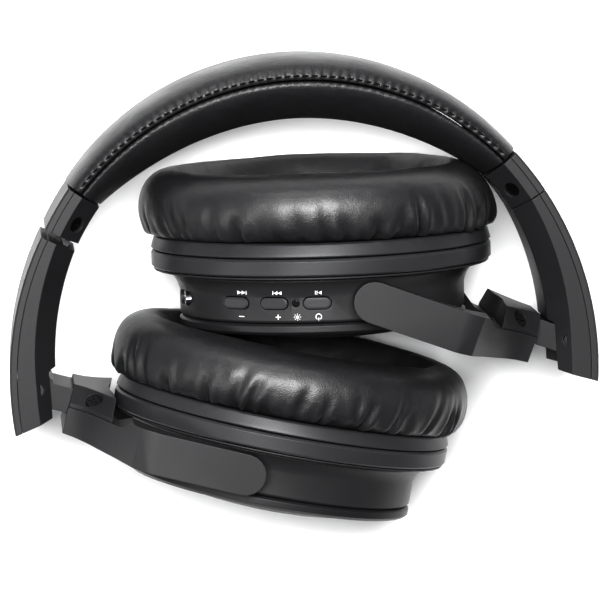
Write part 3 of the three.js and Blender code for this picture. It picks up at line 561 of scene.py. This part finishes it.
# %% [markdown]
# The cloth settings describe the skin: light, hard to stretch, easy to bend. The points of the base are
# pinned, as the clamp holds them. After the last frame the shape is kept and the Cloth is removed.

# %% Fill the ring by simulation
FRAMES = 20


def fill_with_air(piece, pinned, pressure, extra, cap):
    """Blows a closed skin up, holding the pinned points, and moves no point further than cap."""
    rest = np.array([v.co for v in piece.data.vertices], float)
    group = piece.vertex_groups.new(name="clamped")
    group.add([int(i) for i in pinned], 1.0, "REPLACE")
    cloth = piece.modifiers.new("skin", "CLOTH")
    settings = cloth.settings
    settings.quality = 6
    settings.mass = 0.15
    settings.tension_stiffness = settings.compression_stiffness = 18
    settings.shear_stiffness = 6
    settings.bending_stiffness = 0.04
    settings.vertex_group_mass = group.name
    settings.use_pressure = True
    settings.uniform_pressure_force = pressure
    settings.shrink_min = settings.shrink_max = -extra
    settings.effector_weights.gravity = 0
    cloth.collision_settings.use_collision = False
    cloth.point_cache.frame_start, cloth.point_cache.frame_end = 1, FRAMES
    for number in range(1, FRAMES + 1):
        bpy.context.scene.frame_set(number)
    filled = piece.evaluated_get(bpy.context.evaluated_depsgraph_get())
    moved = np.array([v.co for v in filled.data.vertices], float)
    piece.modifiers.remove(cloth)
    bpy.context.scene.frame_set(1)
    if not np.isfinite(moved).all():
        print("the simulation of", piece.name, "failed, so the lofted shape is kept")
        return
    step = moved - rest
    length = np.linalg.norm(step, axis=1, keepdims=True)
    step *= np.minimum(1.0, cap / np.maximum(length, 1e-9))
    piece.data.vertices.foreach_set("co", (rest + step).ravel())
    piece.data.update()
    print(piece.name, "filled: mean move", round(1000 * float(np.linalg.norm(step, axis=1).mean()), 2), "mm")


def subdivided(piece, levels=1):
    modifier = piece.modifiers.new("finer", "SUBSURF")
    modifier.levels = modifier.render_levels = levels
    made = bpy.data.meshes.new_from_object(piece.evaluated_get(bpy.context.evaluated_depsgraph_get()))
    piece.modifiers.clear()
    piece.data = made
    piece.data.shade_smooth()
    return piece


# %% [markdown]
# Simulation gives soft, shallow wrinkles. The gathered pleats are sharper, so they are pressed in
# afterwards: each one is a narrow valley with a small fold on both sides, at its own place round the
# oval, with its own depth, width, slant and reach. A fixed seed makes them the same every time.

# %% Press the pleats in
def smooth_step(x):
    x = np.clip(x, 0, 1)
    return x * x * (3 - 2 * x)


def pleat_list(seed, count):
    chance = random.Random(seed)
    pleats = []
    for i in range(count):
        pleats.append({
            "turn": 2 * math.pi * (i + chance.uniform(-0.42, 0.42)) / count,
            "depth": chance.choice((0.5, 0.8, 1.2, 1.6, 2.0)) * MM,
            "width": chance.uniform(0.6, 1.3) * MM,
            "reach": chance.uniform(6.0, 17.0) * MM,
            "slant": chance.uniform(-0.3, 0.3),
        })
    return pleats


def press_pleats(piece, side, seed, count=44):
    cup = CUPS[side]
    co = np.array([v.co for v in piece.data.vertices], float)
    normals = np.array([v.normal for v in piece.data.vertices], float)
    shifted = co - np.array(cup["origin"])
    along, up, across = shifted @ np.array(cup["along"]), shifted @ np.array(cup["up"]), shifted[:, 2]
    height = up - BASE
    turn = np.arctan2(across / HALF_SHORT, along / HALF_LONG)
    out = normals @ np.array(cup["along"]) * np.cos(turn) + normals[:, 2] * np.sin(turn)
    outer = smooth_step((out + 0.15) / 0.5) * smooth_step(height / (0.8 * MM))
    radius = np.sqrt((HALF_LONG * np.sin(turn)) ** 2 + (HALF_SHORT * np.cos(turn)) ** 2)
    push = np.zeros(len(co))
    for pleat in pleat_list(seed, count):
        apart = (turn - pleat["turn"] + math.pi) % (2 * math.pi) - math.pi
        off = apart * radius - pleat["slant"] * height
        fade = smooth_step(1 - height / pleat["reach"]) * outer
        w = pleat["width"] * (1 + 0.05 * height / MM)
        push -= pleat["depth"] * np.exp(-((off / w) ** 2)) * fade
        for folded in (-2.1, 2.1):
            push += 0.42 * pleat["depth"] * np.exp(-(((off - folded * w) / (1.25 * w)) ** 2)) * fade
    piece.data.vertices.foreach_set("co", (co + normals * push[:, None]).ravel())
    piece.data.update()


# %% Make both ear cushions
def ear_cushion(side, seed):
    faces = loft_faces(ROUND, SECTION, side == "left")
    piece = new_piece(side + "_ear_cushion_leather", ring_corners(side), faces)
    heights = [(v.co - CUPS[side]["origin"]).dot(CUPS[side]["up"]) - BASE for v in piece.data.vertices]
    clamped = [i for i, h in enumerate(heights) if h < 0.5 * MM]
    fill_with_air(piece, clamped, pressure=3.0, extra=0.035, cap=1.0 * MM)
    subdivided(piece)
    press_pleats(piece, side, seed)
    piece.data.materials.append(FINISH["cushion_leather"])
    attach(piece, side + "_cup")
    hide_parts(side + "_ear_cushion")
    return piece


cushions = {"left": ear_cushion("left", 5), "right": ear_cushion("right", 11)}
print("cushion mesh", len(cushions["left"].data.vertices), "points")

# %% [markdown]
# ## Headband
#
# The headband is a padded arc, sewn from two leather panels: a domed outer cover and a plump inner
# pad. They meet in a lapped seam on each side, sewn with black thread, and both disappear into the end
# caps. The arc's centre follows from the cover's box in the CAD.
#
# Each panel is swept along the arc. Near the seam the leather is drawn in, and at every stitch it
# puckers a little. The thickness falls from the crown to the ends as it does in the CAD.

# %% The arc of the headband
BAND_RADIUS = 78.2 * MM
BAND_HALF_TURN = math.radians(52.2)
THICK_CROWN, THICK_END = 17.6 * MM, 11.2 * MM
WIDE_CROWN, WIDE_END = 38 * MM, 29 * MM
SEAM_CROWN = 6.6 * MM
low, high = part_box("headband_cover")
band_centre = Vector(((low.x + high.x) / 2, high.y - BAND_RADIUS, (low.z + high.z) / 2))
print("headband centre", [round(v, 4) for v in band_centre])


def band_sizes(t):
    """Thickness, half width and seam depth at t, from 0 at one end to 1 at the other."""
    away = abs(2 * t - 1)
    thick = THICK_CROWN + (THICK_END - THICK_CROWN) * away**2.4
    half = (WIDE_CROWN + (WIDE_END - WIDE_CROWN) * away**2) / 2
    seam = SEAM_CROWN * (1 - 0.28 * away**2)
    return thick, half, seam


def on_band(t, depth, across):
    turn = math.pi / 2 + (2 * t - 1) * BAND_HALF_TURN
    reach = BAND_RADIUS - depth
    return band_centre + Vector((reach * math.cos(turn), reach * math.sin(turn), across))


# %% Sweep the two leather panels
BAND_STEPS = 420
STITCH_PITCH = 2.6 * MM
ARC_LENGTH = 2 * BAND_HALF_TURN * BAND_RADIUS
STITCHES = int(ARC_LENGTH / STITCH_PITCH)


def pucker(t):
    """0 between stitches and 1 at a stitch."""
    return 0.5 + 0.5 * math.cos(2 * math.pi * t * STITCHES)


def swept_band(name, section):
    rows = [section(i / BAND_STEPS) for i in range(BAND_STEPS + 1)]
    columns = len(rows[0])
    corners = [on_band(i / BAND_STEPS, *p) for i, row in enumerate(rows) for p in row]
    faces = []
    for i in range(BAND_STEPS):
        for j in range(columns):
            k = (j + 1) % columns
            faces.append((i * columns + j, i * columns + k, (i + 1) * columns + k, (i + 1) * columns + j))
    faces.append(tuple(reversed(range(columns))))
    faces.append(tuple(BAND_STEPS * columns + j for j in range(columns)))
    return new_piece(name, corners, faces)


def cover_section(t):
    """The domed cover: flat along the crown, rolled under at the seam."""
    _, half, seam = band_sizes(t)
    draw = 0.35 * MM * pucker(t)
    points = []
    for s in np.linspace(-1, 1, 29):
        side = math.copysign(1, s) if s else 0
        a = abs(s)
        depth = (seam - 0.9 * MM) * (1 - math.sqrt(1 - min(1.0, 0.985 * a) ** 3.4)) * 1.12
        across = half * (a - 0.012 * a**8)
        if a > 0.93:
            depth -= draw * 0.5
            across -= draw * (a - 0.93) / 0.07
        points.append((depth, side * across))
    for a in (0.995, 0.975, 0.93):
        points.append((seam - 0.15 * MM if a < 0.99 else seam - 0.45 * MM, half * a - draw))
    points.append((seam - 0.05 * MM, 0))
    for a in (0.93, 0.975, 0.995):
        points.append((seam - 0.15 * MM if a < 0.99 else seam - 0.45 * MM, draw - half * a))
    return points


def pad_section(t):
    """The plump pad: a quarter round from the seam to the flat that rests on the head."""
    thick, half, seam = band_sizes(t)
    draw = 0.45 * MM * pucker(t)
    top = seam + 0.1 * MM
    points = [(top + 0.05 * MM, 0.0)]
    edge = []
    for a in np.linspace(0, math.pi / 2, 17):
        inward = 1 - math.cos(a) ** 1.15
        depth = top + (thick - top) * (0.02 + 0.98 * inward)
        across = half * (0.955 + 0.055 * math.sin(2 * a) ** 0.8 - 0.52 * inward**1.7)
        if a < 0.35:
            across -= draw * (1 - a / 0.35)
        edge.append((depth, across))
    points += edge
    points += [(thick + 0.15 * MM, half * 0.22), (thick + 0.2 * MM, 0.0), (thick + 0.15 * MM, -half * 0.22)]
    points += [(d, -a) for d, a in reversed(edge)]
    return points


cover = swept_band("headband_cover_leather", cover_section)
pad = swept_band("headband_pad_leather", pad_section)
for piece, node in ((cover, "headband_cover"), (pad, "headband_pad")):
    piece.data.materials.append(FINISH["headband_leather"])
    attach(piece, "headband")
    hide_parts(node)
print("headband", round(1000 * ARC_LENGTH), "mm of arc,", STITCHES, "stitches a side")

# %% [markdown]
# The thread shows as a row of short stitches just outside the seam. Each stitch is a small bead,
# thicker in the middle, that dips into the leather at both ends. One mesh holds a whole row.

# %% Sew the seams
def stitch_row(side):
    corners, faces = [], []
    around, stations = 6, 7
    for n in range(1, STITCHES):
        for i in range(stations):
            t = (n + (i / (stations - 1) - 0.5) * 0.72) / STITCHES
            _, half, seam = band_sizes(t)
            rise = math.sin(math.pi * i / (stations - 1))
            width = (0.10 + 0.20 * rise) * MM
            middle_depth = seam - 1.25 * MM
            middle_across = side * (half - 0.25 * MM + 0.12 * MM * rise)
            for k in range(around):
                a = 2 * math.pi * k / around
                depth = middle_depth + width * math.cos(a)
                corners.append(on_band(t, depth, middle_across + width * math.sin(a)))
        start = (n - 1) * stations * around
        for i in range(stations - 1):
            for k in range(around):
                m = (k + 1) % around
                a, b = start + i * around, start + (i + 1) * around
                faces.append((a + k, a + m, b + m, b + k))
        faces.append(tuple(start + k for k in reversed(range(around))))
        faces.append(tuple(start + (stations - 1) * around + k for k in range(around)))
    return new_piece("headband_stitches_" + ("top" if side > 0 else "under"), corners, faces)


thread = leather("black_thread", (0.004, 0.004, 0.004), 0.8, pebble=6000, depth=0.00003, shine=0.1)
for side in (1, -1):
    row = stitch_row(side)
    row.data.materials.append(thread)
    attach(row, "headband")

# %% [markdown]
# ## Printed signs
#
# White signs are pad-printed beside the buttons. The print is a film of ink a few hundredths of a
# millimetre thick that follows the curved wall of the cup. Every sign is drawn flat, as a few simple
# outlines, and then each of its corners is dropped on the wall. The signs are the common ones for
# players: back, forward, play and pause, minus, plus, a lamp and the power ring.

# %% Drop flat outlines on the cup wall
def wall_tree(node):
    piece = frame["nodes"][node]
    corners = [v.co for v in piece.data.vertices]
    return BVHTree.FromPolygons(corners, [p.vertices for p in piece.data.polygons])


housing_wall = wall_tree("right_cup_housing")
INK = 0.05 * MM


def on_wall(along, up):
    """The point on top of the right cup's wall at that place, lifted by the ink's thickness."""
    start = in_cup("right", along, up, 0.06)
    hit, normal, _, _ = housing_wall.ray_cast(start, Vector((0, 0, -1)))
    return hit + normal * INK


def arc(centre_x, centre_y, radius, start, stop, thick, steps=14):
    """An outline of part of a ring."""
    turns = np.linspace(math.radians(start), math.radians(stop), steps)
    outer = [(centre_x + radius * math.cos(a), centre_y + radius * math.sin(a)) for a in turns]
    bore = radius - thick
    inner = [(centre_x + bore * math.cos(a), centre_y + bore * math.sin(a)) for a in turns]
    return outer, inner


def bar(x0, x1, y0, y1):
    return [(x0, y0), (x1, y0)], [(x0, y1), (x1, y1)]


def triangle(x0, x1, half):
    return [(x0, -half), (x1, -0.02)], [(x0, half), (x1, 0.02)]


SIGNS = {
    "back": [triangle(-0.1, -1.1, 0.55), triangle(1.0, 0.0, 0.55), bar(-1.4, -1.2, -0.55, 0.55)],
    "forward": [triangle(-1.0, 0.0, 0.55), triangle(0.1, 1.1, 0.55), bar(1.2, 1.4, -0.55, 0.55)],
    "play": [triangle(-0.9, 0.0, 0.55), bar(0.25, 0.45, -0.55, 0.55), bar(0.7, 0.9, -0.55, 0.55)],
    "minus": [bar(-0.7, 0.7, -0.12, 0.12)],
    "plus": [bar(-0.7, 0.7, -0.12, 0.12), bar(-0.12, 0.12, 0.12, 0.7), bar(-0.12, 0.12, -0.7, -0.12)],
    "lamp": [arc(0, 0, 0.42, 0, 360, 0.42, 20)]
    + [arc(0, 0, 0.95, a - 6, a + 6, 0.3, 3) for a in range(0, 360, 45)],
    "power": [arc(0, 0, 0.85, -240, 60, 0.2, 22), bar(-0.1, 0.1, 0.25, 1.05)],
}


def print_sign(name, sign, along, up):
    """Prints one sign on the wall; it reads from the ear side down, so it is turned half round."""
    corners, faces = [], []
    for first, second in SIGNS[sign]:
        finer_first, finer_second = [], []
        for a, b, c, d in zip(first[:-1], first[1:], second[:-1], second[1:]):
            for t in np.linspace(0, 1, 4, endpoint=False):
                finer_first.append((a[0] + (b[0] - a[0]) * t, a[1] + (b[1] - a[1]) * t))
                finer_second.append((c[0] + (d[0] - c[0]) * t, c[1] + (d[1] - c[1]) * t))
        finer_first.append(first[-1])
        finer_second.append(second[-1])
        start = len(corners)
        for p, q in zip(finer_first, finer_second):
            corners += [on_wall(along + x * MM, up - y * MM) for x, y in (p, q)]
        for i in range(len(finer_first) - 1):
            a = start + 2 * i
            faces.append((a, a + 1, a + 3, a + 2))
    piece = new_piece("sign_" + name, corners, faces, smooth=False)
    piece.data.materials.append(white_ink)
    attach(piece, "right_cup")
    return piece


# %% [markdown]
# The ink is matt white and a little uneven, as pad printing is. Each sign is centred on its button,
# whose place comes from the CAD.

# %% Print the signs
def ink(name, colour):
    material = bpy.data.materials.new(name)
    material.use_nodes = True
    tree = material.node_tree
    skin = tree.nodes["Principled BSDF"]
    skin.inputs["Roughness"].default_value = 0.55
    place = tree.nodes.new("ShaderNodeTexCoord")
    thin = node_of(tree, "TexNoise", Scale=3000.0, Detail=3.0)
    tree.links.new(place.outputs["Object"], thin.inputs["Vector"])
    tone = mixed(tree, thin.outputs["Fac"], [c * 0.75 for c in colour], colour)
    tree.links.new(tone.outputs["Color"], skin.inputs["Base Color"])
    return material


white_ink = ink("white_ink", (0.86, 0.86, 0.86))


def button_middle(node):
    """Where a button is, along the cup and behind the seam."""
    points = cup_points("right", node)
    return (points.min(0) + points.max(0)) / 2


SIGN_ABOVE, SIGN_BELOW = 2.9 * MM, 3.7 * MM
for node, above, below in (
    ("previous_button", "back", "minus"),
    ("next_button", "forward", "plus"),
    ("play_button", "play", "power"),
):
    spot = button_middle(node)
    print_sign(node + "_above", above, spot[0], spot[1] + SIGN_ABOVE)
    print_sign(node + "_below", below, spot[0], spot[1] - SIGN_BELOW)
lamp = button_middle("status_lens")
print_sign("lamp", "lamp", lamp[0], lamp[1] - SIGN_BELOW)

# %% [markdown]
# ## Check the size and finish
#
# The looks are meant to leave the size as it is. The box of everything shown is set against the box of
# the CAD, which was printed at the start, and how far it has grown on each side is printed, in millimetres.

# %% Print how far the shown box has grown, and finish
low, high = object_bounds()
print("grown by", [round(1000 * (a - b), 2) for a, b in zip((*low, *high), (*cad_low, *cad_high))], "mm")
